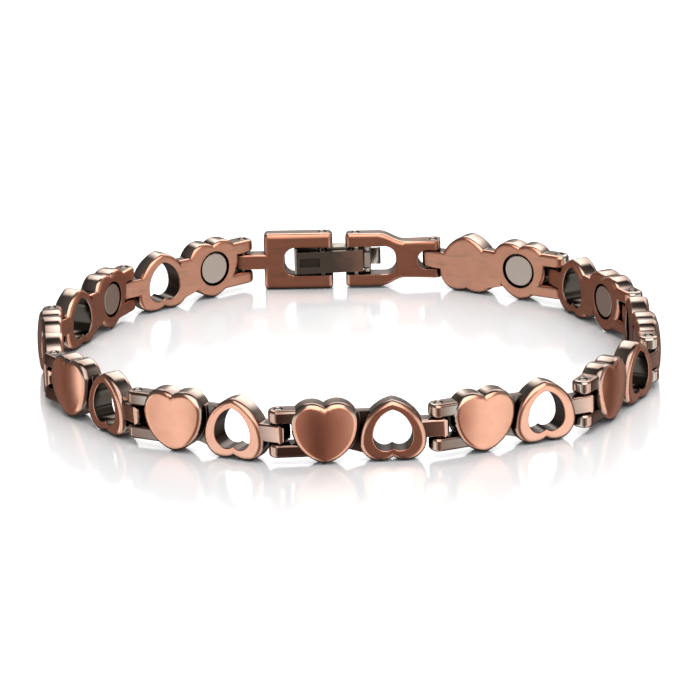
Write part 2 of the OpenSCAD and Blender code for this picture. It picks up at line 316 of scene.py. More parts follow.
def makeMarksGroup():
    # The marks that were kept with the piece, with cloudy borders, and the dark in corners and gaps: patina
    # in the hollows, and painted shade between parts that lie close
    group, given, out = nodeGroup(
        "Wear And Shade Marks",
        [("Wander", "NodeSocketFloat", 0.3), ("Corner Reach", "NodeSocketFloat", 0.0005)],
        [("Rubbed", "NodeSocketFloat"), ("Brown Patina And Shade", "NodeSocketFloat"), ("Shaded", "NodeSocketFloat"),
         ("Corner Patina And Shade", "NodeSocketFloat")],
    )
    cloud = noise(group, keptWithPiece(group, "benchPlace"), 1.3, 3)
    wander = calculate(group, "MULTIPLY", calculate(group, "SUBTRACT", cloud, 0.5), given.outputs["Wander"])
    marks = axesOf(group, keptWithPiece(group, "wearAndShadeMarks"))
    for axis, label in (("X", "Rubbed"), ("Y", "Brown Patina And Shade")):
        mark = marks[axis]
        border = calculate(group, "MULTIPLY", mark, calculate(group, "SUBTRACT", 1.0, mark))
        moved = calculate(group, "MULTIPLY", calculate(group, "MULTIPLY", border, 4.0), wander)
        group.links.new(calculate(group, "ADD", mark, moved, clamp=True), out.inputs[label])
    group.links.new(marks["Z"], out.inputs["Shaded"])
    group.links.new(cornersOf(group, given.outputs["Corner Reach"], 0.9, 0.4), out.inputs["Corner Patina And Shade"])
    return group


def makeBrushGroup():
    # Fine lines and broad streaks along the band, and the cloudiness of the polish
    group, given, out = nodeGroup(
        "Brushed Polish",
        [("Lines", "NodeSocketFloat", 14.0), ("Stretch", "NodeSocketFloat", 0.04)],
        [("Lines", "NodeSocketFloat"), ("Streaks", "NodeSocketFloat"), ("Cloud", "NodeSocketFloat")],
    )
    place = keptWithPiece(group, "benchPlace")
    axes = axesOf(group, place)
    stretched = addNode(group, "ShaderNodeCombineXYZ")
    along = calculate(group, "MULTIPLY", axes["X"], given.outputs["Stretch"])
    for axis, value in (("X", along), ("Y", axes["Y"]), ("Z", axes["Z"])):
        group.links.new(value, stretched.inputs[axis])
    lines = noise(group, stretched.outputs[0], given.outputs["Lines"], 4)
    wide = addNode(group, "ShaderNodeMapping")
    wide.inputs["Scale"].default_value = (0.22, 0.5, 1.0)
    group.links.new(place, wide.inputs["Vector"])
    group.links.new(lines, out.inputs["Lines"])
    group.links.new(noise(group, wide.outputs[0], 1.7, 3), out.inputs["Streaks"])
    group.links.new(noise(group, place, 0.55, 2), out.inputs["Cloud"])
    return group


marksGroup = makeMarksGroup()
brushGroup = makeBrushGroup()


def useGroup(tree, group, **values):
    node = addNode(tree, "ShaderNodeGroup", node_tree=group)
    for label, value in values.items():
        node.inputs[label.replace("_", " ")].default_value = value
    return node


def startMaterial(name, metallic=1.0):
    material = bpy.data.materials.new(name)
    material.use_nodes = True
    tree = material.node_tree
    shader = tree.nodes["Principled BSDF"]
    shader.inputs["Metallic"].default_value = metallic
    return material, tree, shader


def dress(tree, shader, colour, rough, height, look):
    bump = addNode(tree, "ShaderNodeBump")
    bump.inputs["Strength"].default_value = look["bump"]
    bump.inputs["Distance"].default_value = look["bumpDepth"]
    tree.links.new(height, bump.inputs["Height"])
    tree.links.new(bump.outputs[0], shader.inputs["Normal"])
    tree.links.new(colour, shader.inputs["Base Color"])
    tree.links.new(rough, shader.inputs["Roughness"])


copperLook = {
    "polished": (0.83, 0.385, 0.25, 1),
    "rosy": (0.70, 0.29, 0.185, 1),
    "bare": (0.47, 0.39, 0.33, 1),
    # Brown of patina, with painted shade that outlines the hearts and darkens the ears and tongue beside them
    "brownPatinaAndShade": (0.12, 0.055, 0.038, 1),
    "brownPatinaAndShadeMost": 0.85,
    "shade": (0.075, 0.057, 0.044, 1),
    # Nearly black in corners and gaps: patina in the hollows, and painted shade between parts that lie close
    "corner": (0.03, 0.022, 0.018, 1),
    "cornerReach": 0.0009,
    "wander": 0.35,         # of the borders between rubbed, bare, and the brown of patina and painted shade
    "faceRoughness": 0.24,
    "wristRoughness": 0.4,
    "bareRoughness": 0.12,
    "roughSpread": 0.1,
    "wristFrom": (0.88, 1.08),          # depth at which the satin wrist side starts
    "wristTone": (0.65, 0.62, 0.6, 1),  # of the satin side against the polished outer side
    "smearShade": (0.24, 0.15, 0.11, 1),     # painted shade: dark smears along the streaks of the wrist side, for the shading of its shallow hollows
    "smearShadeMost": 0.4,
    "smearShadeFrom": (0.5, 0.72),
    "lines": 14.0,
    "bump": 0.12,
    "bumpDepth": 0.00002,
}


def makeCopper():
    material, tree, shader = startMaterial("Antique Copper")
    look = copperLook
    marks = useGroup(tree, marksGroup, Wander=look["wander"], Corner_Reach=look["cornerReach"])
    brush = useGroup(tree, brushGroup, Lines=look["lines"])
    depth = axesOf(tree, keptWithPiece(tree, "benchPlace"))["Y"]
    wristSide = remap(tree, depth, *look["wristFrom"])
    polished = blendColours(tree, brush.outputs["Cloud"], look["polished"], look["rosy"])
    satin = blendColours(tree, 1.0, polished, look["wristTone"], "MULTIPLY")
    polished = blendColours(tree, wristSide, polished, satin)
    # Painted shade: dark smears along the streaks on the wrist side
    shadeSmears = remap(tree, brush.outputs["Streaks"], *look["smearShadeFrom"])
    shadeSmears = calculate(tree, "MULTIPLY", shadeSmears, calculate(tree, "MULTIPLY", wristSide, look["smearShadeMost"]))
    polished = blendColours(tree, shadeSmears, polished, look["smearShade"])
    colour = blendColours(tree, marks.outputs["Rubbed"], look["bare"], polished)
    # The brown is patina, and painted shade at the rims and beside the hearts
    brownPatinaAndShadeShare = calculate(tree, "MULTIPLY", marks.outputs["Brown Patina And Shade"], look["brownPatinaAndShadeMost"])
    colour = blendColours(tree, brownPatinaAndShadeShare, colour, look["brownPatinaAndShade"])
    colour = blendColours(tree, marks.outputs["Shaded"], colour, look["shade"])
    colour = blendColours(tree, marks.outputs["Corner Patina And Shade"], colour, look["corner"])
    rough = calculate(tree, "MULTIPLY_ADD", wristSide, look["wristRoughness"] - look["faceRoughness"],
                      look["faceRoughness"])
    rough = calculate(tree, "MULTIPLY", rough, marks.outputs["Rubbed"])
    bare = calculate(tree, "SUBTRACT", 1.0, marks.outputs["Rubbed"])
    rough = calculate(tree, "MULTIPLY_ADD", bare, look["bareRoughness"], rough)
    spread = calculate(tree, "MULTIPLY_ADD", brush.outputs["Lines"], look["roughSpread"],
                       -look["roughSpread"] / 2)
    rough = calculate(tree, "ADD", rough, spread, clamp=True)
    dress(tree, shader, colour, rough, brush.outputs["Lines"], look)
    return material


pinLook = {
    "dark": (0.62, 0.55, 0.49, 1),
    "light": (0.86, 0.8, 0.74, 1),
    "roughness": 0.16,
    "roughSpread": 0.16,
    "roughFrom": "Cloud",
    "lines": 9.0,
    "stretch": 1.0,
    "bump": 0.1,
    "bumpDepth": 0.00002,
}
magnetLook = {
    "dark": (0.4, 0.29, 0.235, 1),
    "light": (0.54, 0.41, 0.34, 1),
    # The dark ring round the magnet is painted shade in the gap between it and its recess
    "gapShade": (0.06, 0.05, 0.045, 1),     # in the gap round it
    "gapShadeReach": 0.0005,
    "roughness": 0.42,
    "roughSpread": 0.12,
    "roughFrom": "Lines",
    "lines": 22.0,
    "stretch": 0.8,
    "bump": 0.15,
    "bumpDepth": 0.00003,
}


def makeBrushedMetal(name, look):
    material, tree, shader = startMaterial(name)
    brush = useGroup(tree, brushGroup, Lines=look["lines"], Stretch=look["stretch"])
    colour = blendColours(tree, brush.outputs["Lines"], look["dark"], look["light"])
    if "gapShade" in look:
        # painted shade in the gap round a magnet
        colour = blendColours(tree, cornersOf(tree, look["gapShadeReach"], 0.8, 0.3), colour, look["gapShade"])
    rough = calculate(tree, "MULTIPLY_ADD", brush.outputs[look["roughFrom"]], look["roughSpread"],
                      look["roughness"])
    dress(tree, shader, colour, rough, brush.outputs["Lines"], look)
    return material


claspLook = {
    "blade": (0.2, 0.175, 0.15, 1),
    "cover": (0.26, 0.235, 0.2, 1),
    "rubbed": (0.62, 0.56, 0.48, 1),
    "shade": (0.045, 0.038, 0.033, 1),
    "copper": (0.66, 0.4, 0.3, 1),
    "copperFrom": (12.0, 7.0),  # along the blade, from the forked plate's pin: where the copper shows, fully
    "copperWander": 4.0,
    # Painted shade in corners and in the gaps between the clasp's parts
    "corner": (0.04, 0.032, 0.028, 1),
    "cornerReach": 0.00035,
    "roughness": 0.2,
    "roughSpread": 0.12,
    "rubbedRoughness": 0.25,
    "lines": 10.0,
    "stretch": 0.06,
    "bump": 0.15,
    "bumpDepth": 0.00002,
}


def makeClaspMetal(name, base, copperShows):
    material, tree, shader = startMaterial(name)
    look = claspLook
    brush = useGroup(tree, brushGroup, Lines=look["lines"], Stretch=look["stretch"])
    marks = useGroup(tree, marksGroup, Corner_Reach=look["cornerReach"])
    wander = calculate(tree, "MULTIPLY_ADD", brush.outputs["Cloud"], look["copperWander"],
                       -look["copperWander"] / 2)
    along = calculate(tree, "ADD", axesOf(tree, keptWithPiece(tree, "benchPlace"))["X"], wander)
    showing = calculate(tree, "MULTIPLY", remap(tree, along, *look["copperFrom"]), copperShows)
    colour = blendColours(tree, showing, look[base], look["copper"])
    colour = blendColours(tree, marks.outputs["Rubbed"], colour, look["rubbed"])
    colour = blendColours(tree, marks.outputs["Shaded"], colour, look["shade"])
    colour = blendColours(tree, marks.outputs["Corner Patina And Shade"], colour, look["corner"])
    rough = calculate(tree, "MULTIPLY_ADD", brush.outputs["Lines"], look["roughSpread"], look["roughness"])
    rough = calculate(tree, "MULTIPLY_ADD", marks.outputs["Rubbed"], look["rubbedRoughness"], rough)
    dress(tree, shader, colour, rough, brush.outputs["Lines"], look)
    return material


copper = makeCopper()
pinMetal = makeBrushedMetal("Pin Metal", pinLook)
magnetMetal = makeBrushedMetal("Magnet Nickel", magnetLook)
bladeMetal = makeClaspMetal("Darkened Blade", "blade", 0.8)
coverMetal = makeClaspMetal("Cover Metal", "cover", 0.0)
print("finishes made")


# Heart links

hearts = {
    "width": 7.0,
    "height": bandHeight,
    "lobe": 2.2,
    "solidX": 4.7,          # middle of the solid heart, from the fork's pin
    "openX": linkPitch - 4.8,
    "rimFront": -1.25,
    "wrist": 1.1,
    "rise": 0.5,            # of the solid heart's face over its rim
    "riseReach": 3.7,
    "riseTop": 0.2,         # corners this near the middle are pulled out, and the others follow
    "rimRound": 0.54,
    "ringRound": 0.6,
    "wristRound": 0.5,
    "holeWidth": 4.1,
    "holeHeight": 4.4,
    "holeTop": 1.0,
    "holeReach": 2.7,       # no corner of the hole lies further from its middle
    "holeRound": 0.12,
    "holeWristRound": 0.16,
    "domeRings": 10,
}
holeLift = hearts["height"] / 2 - hearts["holeTop"] - hearts["holeHeight"] / 2


def heartLoop(name, width, height, lobe, front, tipUp=False):
    # A closed line of edges: from the cleft round a lobe and down the side to the tip, then mirrored
    holdOnly(None)
    flip = -1 if tipUp else 1
    drop = height - lobe
    sideRadius = (drop * drop + width * width / 4) / width
    lobeX = width / 2 - lobe
    lobeZ = flip * (height / 2 - lobe)
    cleftAngle = math.acos(-lobeX / lobe)
    tipAngle = math.atan2(drop, sideRadius - width / 2)
    bpy.ops.mesh.primitive_plane_add(size=1)
    line = bpy.context.object
    line.name = name
    editWhole(line)
    bpy.ops.mesh.select_mode(type="VERT")
    bpy.ops.mesh.merge(type="CENTER")
    cleft = (0, front, lobeZ + flip * lobe * math.sin(cleftAngle))
    bpy.ops.transform.translate(value=cleft)
    bpy.ops.mesh.spin(steps=26, angle=-flip * cleftAngle, center=(lobeX, front, lobeZ), axis=(0, 1, 0))
    bpy.ops.mesh.spin(steps=20, angle=-flip * tipAngle, center=(width / 2 - sideRadius, front, lobeZ),
                      axis=(0, 1, 0))
    bpy.ops.mesh.select_all(action="SELECT")
    bpy.ops.mesh.duplicate()
    bpy.ops.transform.resize(value=(-1, 1, 1), center_override=(0, 0, 0))
    bpy.ops.mesh.select_all(action="SELECT")
    bpy.ops.mesh.remove_doubles(threshold=0.001)
    bpy.ops.object.mode_set(mode="OBJECT")
    return line


def extrudeBack(piece, depth):
    editWhole(piece)
    extrude(0, depth, 0)
    bpy.ops.mesh.select_all(action="SELECT")
    bpy.ops.mesh.normals_make_consistent(inside=False)
    bpy.ops.object.mode_set(mode="OBJECT")


def solidHeart(tipUp=False):
    look = hearts
    front = look["rimFront"]
    heart = heartLoop("heart", look["width"], look["height"], look["lobe"], front, tipUp=tipUp)
    editWhole(heart)
    bpy.ops.mesh.edge_face_add()
    extrudeBack(heart, look["wrist"] - front)
    roundEdges(heart, look["rimRound"], 5, lambda a, b: max(a.y, b.y) < front + near)
    roundEdges(heart, look["wristRound"], 4, lambda a, b: min(a.y, b.y) > look["wrist"] - near)
    pick(heart, "FACE", lambda c, n: n.y < -0.99)
    for step in range(look["domeRings"]):  # rings of corners toward the middle, each a smaller heart
        left = look["domeRings"] - step
        bpy.ops.mesh.inset(thickness=0)
        share = (left - 0.5) / (left + 0.5)
        bpy.ops.transform.resize(value=(share, 1, share), center_override=(0, 0, 0))
    bpy.ops.mesh.poke()
    bpy.ops.object.mode_set(mode="OBJECT")
    pick(heart, "VERT", lambda p: p.y > 0)  # the wrist side stays put while the face is domed
    bpy.ops.mesh.hide(unselected=False)
    pick(heart, "VERT", lambda p: p.y < 0 and math.hypot(p.x, p.z) < look["riseTop"])
    bpy.ops.transform.translate(value=(0, -look["rise"], 0), use_proportional_edit=True,
                                proportional_edit_falloff="INVERSE_SQUARE",
                                proportional_size=look["riseReach"])
    bpy.ops.mesh.reveal(select=False)
    bpy.ops.object.mode_set(mode="OBJECT")
    return heart


def openHeart():
    look = hearts
    front = look["rimFront"]
    ring = heartLoop("ring", look["width"], look["height"], look["lobe"], front, tipUp=True)
    editWhole(ring)
    bpy.ops.mesh.select_mode(type="EDGE")
    extrude(0, 0, holeLift)
    shrink = (look["holeWidth"] / look["width"], 1, look["holeHeight"] / look["height"])
    bpy.ops.transform.resize(value=shrink, center_override=(0, front, holeLift))
    extrudeBack(ring, look["wrist"] - front)

    def onHole(a):
        return math.hypot(a.x, a.z - holeLift) < look["holeReach"]

    def roundLoop(side, hole, width, segments):
        def onLoop(a, b):
            return min(a.y * side, b.y * side) > look["wrist"] - 5 * near and onHole(a) == onHole(b) == hole

        roundSharp(ring, width, segments, onLoop, 50)

    roundLoop(-1, False, look["ringRound"], 6)
    roundLoop(-1, True, look["holeRound"], 5)
    roundLoop(1, False, look["wristRound"], 4)
    roundLoop(1, True, look["holeWristRound"], 3)
    return ring


joints = {
    "wrist": 1.095,         # a hair behind the hearts, so that their flat faces run on
    "wristRound": 0.4,
    "holeRadius": 0.45,
    "pinHoleFlare": 0.06,
    "front": -1.1,
    "reach": 1.05,
    "endRound": 0.95,
    "forkHeight": 5.1,
    "slotHeight": 2.19,
    "slotDepth": 1.35,
    "slotEdgeRound": 0.1,
    "tongueHeight": 1.95,
    "tongueFront": -0.95,
    "tongueEndRound": 0.65,
    "earRound": 0.4,
    "edgeRound": 0.28,
    "bridgeHeight": 4.0,
    "bridgeFront": -0.3,
    "bridgeReach": 2.3,
    "bridgeDrop": 0.7,      # of its lower edge, toward the second heart
    "collarFront": -0.5,    # a low step that follows the solid heart across the bridge
    "collarWidth": 0.3,
}


def drillPinHole(piece, x, height):
    # With a countersink at both ends, where the faces of the drilled piece are
    radius, flare = joints["holeRadius"], joints["pinHoleFlare"]
    tool = rod("drill", radius, height - 2 * flare, (x, 0, 0))
    for side in (-1, 1):
        pick(tool, "FACE", lambda c, n: n.z * side > 0.9)
        for grow, out in ((1 + flare / radius, flare), (1, overshoot)):
            extrude(0, 0, side * out)
            bpy.ops.transform.resize(value=(grow, grow, 1), center_override=(x, 0, 0))
        bpy.ops.object.mode_set(mode="OBJECT")
    carve(piece, tool)


def forkEar(side):
    look = joints
    end = -look["reach"]
    z = sorted((side * look["slotHeight"] / 2, side * look["forkHeight"] / 2))
    ear = block("ear", (end, hearts["solidX"]), (look["front"], look["wrist"]), z)
    roundEdges(ear, look["endRound"], 9, lambda a, b: max(a.x, b.x) < end + near and abs(a.z - b.z) > 0.1)
    roundSharp(ear, look["earRound"], 5)
    return ear


def tongueTo(pinX, fromX, height):
    look = joints
    tip = pinX + look["reach"]
    tongue = block("tongue", (fromX, tip), (look["tongueFront"], look["wrist"]), centred(height))
    roundEdges(tongue, look["tongueEndRound"], 6, lambda a, b: min(a.x, b.x) > tip - near)
    roundSharp(tongue, look["edgeRound"], 3, lambda a, b: abs(a.x - b.x) > 0.5)
    return tongue


def makeCollar(bridgeX):
    look = joints
    grow = 2 * look["collarWidth"]
    collar = heartLoop("collar", hearts["width"] + grow, hearts["height"] + grow,
                       hearts["lobe"] + look["collarWidth"], look["collarFront"])
    editWhole(collar)
    bpy.ops.mesh.edge_face_add()
    extrudeBack(collar, 1)
    roundEdges(collar, look["collarWidth"] / 2, 3, lambda a, b: max(a.y, b.y) < look["collarFront"] + near)
    slide(collar, hearts["solidX"])
    return combine(collar, block("reach", bridgeX, (-1, 1), centred(look["bridgeHeight"])), "INTERSECT")


def makeLink(name, secondHeart):
    look = joints
    link = solidHeart()
    slide(link, hearts["solidX"])
    slide(secondHeart, hearts["openX"])
    bridgeX = (hearts["solidX"] + look["bridgeReach"], hearts["openX"] - look["bridgeReach"])
    bridge = block("bridge", bridgeX, (look["bridgeFront"], look["wrist"]), centred(look["bridgeHeight"]))
    roundEdges(bridge, look["wristRound"], 4, lambda a, b: min(a.y, b.y) > 1 and abs(a.x - b.x) > 1)
    pick(bridge, "VERT", lambda p: p.z < 0 and p.x > sum(bridgeX) / 2)
    bpy.ops.transform.translate(value=(0, 0, -look["bridgeDrop"]))
    bpy.ops.object.mode_set(mode="OBJECT")
    combine(bridge, makeCollar(bridgeX))
    combine(link, bridge)
    combine(link, secondHeart)
    for side in (-1, 1):
        combine(link, forkEar(side))
    combine(link, tongueTo(linkPitch, hearts["openX"] + look["bridgeReach"], look["tongueHeight"]))
    slotX = (-look["reach"] - overshoot, look["slotDepth"])
    carve(link, block("slot", slotX, through, centred(look["slotHeight"])))
    slotZ = look["slotHeight"] / 2 + near

    def onSlotEdge(a, b):
        inSlot = max(a.x, b.x) < look["slotDepth"] + near and max(abs(a.z), abs(b.z)) < slotZ
        return inSlot and min(a.y, b.y) > look["wrist"] - 1.5 * near

    roundSharp(link, look["slotEdgeRound"], 2, onSlotEdge)
    for x, height in ((0, look["forkHeight"]), (linkPitch, look["tongueHeight"])):
        drillPinHole(link, x, height)
    link.name = name
    return link


magnets = {
    "radius": 1.75,
    "thickness": 0.9,
    "lift": 0.2,
    "recessRadius": 2.0,
    "recessDepth": 1.02,
    "recessRound": 0.08,
    "face": 1.0,            # of the magnet, from the pin line
    "edgeRound": 0.1,
    "faceRing": 0.5,
}


def cutRecess(link):
    look = magnets
    floor = hearts["wrist"] - look["recessDepth"]
    tool = rod("recess", look["recessRadius"], look["recessDepth"] + overshoot,
               (hearts["solidX"], floor + (look["recessDepth"] + overshoot) / 2, look["lift"]), "Y", 72)
    carve(link, tool)
    centre = Vector((hearts["solidX"], hearts["wrist"], look["lift"]))

    def onRim(p):
        return abs((p - centre).length - look["recessRadius"]) < 3 * near

    roundSharp(link, look["recessRound"], 2, lambda a, b: onRim(a) and onRim(b))


def insideHeart(x, z):  # how far inside the outline of a heart with its tip down
    look = hearts
    x = abs(x)
    lobe = look["lobe"]
    lobeX, lobeZ = look["width"] / 2 - lobe, look["height"] / 2 - lobe
    if z > lobeZ:
        return lobe - math.hypot(x - lobeX, z - lobeZ)
    drop = look["height"] - lobe
    sideRadius = (drop * drop + look["width"] ** 2 / 4) / look["width"]
    return sideRadius - math.hypot(x - look["width"] / 2 + sideRadius, z - lobeZ)


marksLook = {
    "wristFrom": 0.3,               # depth behind the pin line where the wrist side starts
    "holeReach": 2.55,              # a corner this near the middle of the hole is in it
    "tongueFrom": 3.0,              # past the middle of the second heart
    # Depths where a mark starts, and where it is full
    "rimRubbed": (0.85, 1.1),
    "domeRubbed": (1.15, 1.38),
    "wristRubbed": (0.55, 0.95),
    "innerRubbed": (0.95, 1.08),    # at the wrist edge of a hole or slot
    "innerShaded": (1.09, 0.97),
    "holeShaded": (-0.002, 0.05),   # behind the face of the ring
    "earRubbed": (0.3, 0.9),
    "tongueRubbed": (0.3, 0.8),
    # The same by the distance inside the outline of a heart
    # The brown at the rim of a heart, and at the rim of a ring, is painted shade that outlines it, over the
    # patina
    "rimBrown": (0.2, 0.02),
    "ringBrown": (0.3, 0.04),
    # Brown on the ears and on the tongue next to the hearts is painted shade, with patina
    "earBrownBeside": (-1.6, -0.1),
    "tongueBrown": (-0.8, 0),
    # The same by the distance from the fork's pin toward the heart
    "earBrownAlong": (-0.6, 0),
    "earShadedAlong": (-0.6, 0.2),
    # How strong the marks are
    "rimBrownMost": 0.85,
    "ringBrownMost": 0.6,
    "ringRubbedMost": 0.85,
    "earRubbedMost": 0.5,
    "earBrown": (0.1, 0.9),         # at the rounded end, and where the ear is flat
    "earShade": 0.5,
    "slotShade": 0.8,
    "tongueRubbedMost": 0.6,
    "tongueBrownMost": 0.3,
    "bridge": (0.0, 0.7, 0.5),      # rubbed, brown, shaded
}


def linkMarks(isOpen):
    look = marksLook

    # On an ear, painted shade with patina: brown away from its rounded end and next to the heart
    def earMarks(p, first, inSlot):
        facing = rise(-p.y, *look["earRubbed"])
        end, flat = look["earBrown"]
        alongEar = end + (flat - end) * rise(p.x, *look["earBrownAlong"])
        brown = max(alongEar, rise(first, *look["earBrownBeside"])) * facing
        shaded = look["slotShade"] if inSlot else look["earShade"] * rise(p.x, *look["earShadedAlong"])
        return look["earRubbedMost"] * facing, brown, shaded

    def marksOf(p):
        first = insideHeart(p.x - hearts["solidX"], p.z)
        second = insideHeart(p.x - hearts["openX"], -p.z)
        inHole = isOpen and math.hypot(p.x - hearts["openX"], p.z - holeLift) < look["holeReach"]
        inSlot = p.x < joints["slotDepth"] + near and abs(p.z) < joints["slotHeight"] / 2 + near
        if p.y > look["wristFrom"]:
            if inHole or inSlot:
                return rise(p.y, *look["innerRubbed"]), 0.0, rise(p.y, *look["innerShaded"])
            return rise(p.y, *look["wristRubbed"]), 0.0, 0.0
        if max(first, second) > -2 * near:
            if first < -2 * near and isOpen:
                rubbed = rise(-p.y, *look["rimRubbed"])
                if inHole:
                    return rubbed, 0.0, rise(p.y - hearts["rimFront"], *look["holeShaded"])
                # Painted shade: the ring turns brown toward its outline
                brown = look["ringBrownMost"] * rise(second, *look["ringBrown"])
                return look["ringRubbedMost"] * rubbed, brown, 0.0
            # Painted shade: the rim turns brown toward the heart's outline
            brown = look["rimBrownMost"] * rise(max(first, second), *look["rimBrown"])
            return rise(-p.y, *look["domeRubbed"]), brown, 0.0
        if p.x < hearts["solidX"]:
            return earMarks(p, first, inSlot)
        if p.x > hearts["openX"] + look["tongueFrom"]:
            # On the tongue, painted shade with patina: brown next to the second heart
            rubbed = look["tongueRubbedMost"] * rise(-p.y, *look["tongueRubbed"])
            return rubbed, look["tongueBrownMost"] * rise(second, *look["tongueBrown"]), 0.0
        return look["bridge"]

    return marksOf


heartLink = makeLink("heartLink", openHeart())
print("heart link joined:", len(heartLink.data.polygons), "faces")
endLink = makeLink("endLink", solidHeart(tipUp=True))
for link in (heartLink, endLink):
    cutRecess(link)
    smoothFinish(link, linkMarks(link == heartLink))
print("link templates made")

for k in range(linkCount):
    last = k == linkCount - 1
    node = "end_link" if last else f"heart_link_{k + 1}"
    piece = copyOf(endLink if last else heartLink, node + "_finished")
    putInPlace(piece, hingePins[k], headingFrom(hingePins[k], hingePins[k + 1]))
    finishPiece(piece, node, "bracelet", copper)


def makeMagnet():
    look = magnets
    disc = rod("magnet", look["radius"], look["thickness"],
               (hearts["solidX"], look["face"] - look["thickness"] / 2, look["lift"]), "Y", 72)
    roundSharp(disc, look["edgeRound"], 3)
    pick(disc, "FACE", lambda c, n: n.y > 0.99)
    for ring in range(2):
        bpy.ops.mesh.inset(thickness=look["faceRing"])
    bpy.ops.object.mode_set(mode="OBJECT")
    smoothFinish(disc)
    return disc


magnetDisc = makeMagnet()
for k in range(linkCount):
    piece = copyOf(magnetDisc, f"magnet_{k + 1}_finished")
    putInPlace(piece, hingePins[k], headingFrom(hingePins[k], hingePins[k + 1]))
    finishPiece(piece, f"magnet_{k + 1}", "bracelet", magnetMetal)
for template in (heartLink, endLink, magnetDisc):
    bpy.data.objects.remove(template)


pins = {
    "edgeRound": 0.12,
    "sides": 40,
}
pinTemplates = {}


def makePin(radius, length):
    pin = rod("pin", radius, length, (0, 0, 0), sides=pins["sides"])
    roundSharp(pin, pins["edgeRound"], 3)
    smoothFinish(pin)
    return pin


def addPin(node):  # pins of one size are copies of one
    low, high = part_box(node)
    size = (round((high.x - low.x) / 2 / mm, 3), round((high.z - low.z) / mm, 3))
    if size not in pinTemplates:
        pinTemplates[size] = makePin(*size)
    pin = copyOf(pinTemplates[size], node + "_finished")
    putInPlace(pin, middleOf(node), 0)
    finishPiece(pin, node, "bracelet", pinMetal)


for k in range(pinCount):
    addPin(f"hinge_pin_{k + 1}")
print("chain made")


# Clasp, measured along the line from the forked plate's hinge pin to the tongued plate's

plates = {
    "forkEnd": 10.0,
    "gap": 1.5,
    "outer": -1.1,
    "wrist": 1.1,
    "forkMargin": 0.15,     # how far the forked plate stays inside the band
    "cornerRound": 0.5,
    "edgeRound": 0.5,
    "slotEdgeRound": 0.16,
    "slotHeight": 3.3,
    "slotRound": 1.3,
    "neckHeight": 4.3,
    "neckLength": 3.2,
    "shoulderLength": 3.0,
    "shoulderSteps": 12,
    "earReach": 0.85,
    "earEndRound": 0.7,
    "earSlotFrom": -2.0,    # past the ears' end
    "earSlotDepth": 1.75,
    "forkWeb": 4.25,        # from the hinge pin to the slot
    "tongueWeb": 2.3,       # from the slot to the far edge of the tongued plate
    "tongueLength": 2.5,
    "tongueHeight": 1.75,
    "crossInset": 1.15,
}
forkCrossX = plates["forkEnd"] - plates["crossInset"]
tonguePlateX = plates["forkEnd"] + plates["gap"]
tonguePlateEnd = claspSpan - plates["tongueLength"]
tongueCrossX = tonguePlateX + plates["crossInset"]


def slotTool(closedX, openX):
    tool = block("slot", sorted((closedX, openX)), through, centred(plates["slotHeight"]))

    def atClosedEnd(a, b):
        return max(abs(a.x - closedX), abs(b.x - closedX)) < near and abs(a.y - b.y) > 1

    roundEdges(tool, plates["slotRound"], 10, atClosedEnd)
    return tool


def roundPlateEdges(plate, inSlot):
    # The outline is rounded more than the slots
    look = plates

    def onFace(a, b):
        return abs(a.y - b.y) < near and abs(a.y) > look["wrist"] - near

    roundSharp(plate, look["edgeRound"], 4, lambda a, b: onFace(a, b) and not inSlot((a + b) / 2))
    roundSharp(plate, look["slotEdgeRound"], 2, lambda a, b: onFace(a, b) and inSlot((a + b) / 2))


def makeTonguedPlate():
    look = plates
    slotEnd = tonguePlateEnd - look["tongueWeb"]
    plate = block("tonguedPlate", (tonguePlateX, tonguePlateEnd), (look["outer"], look["wrist"]),
                  centred(bandHeight))
    roundEdges(plate, look["cornerRound"], 5, lambda a, b: abs(a.y - b.y) > 1)
    carve(plate, slotTool(slotEnd, tonguePlateX - overshoot))
    roundPlateEdges(plate, lambda m: abs(m.z) < look["slotHeight"] / 2 + near and m.x < slotEnd + near)
    combine(plate, tongueTo(claspSpan, tonguePlateEnd - 1, look["tongueHeight"]))
    drillPinHole(plate, claspSpan, look["tongueHeight"])
    drillPinHole(plate, tongueCrossX, bandHeight)
    return plate


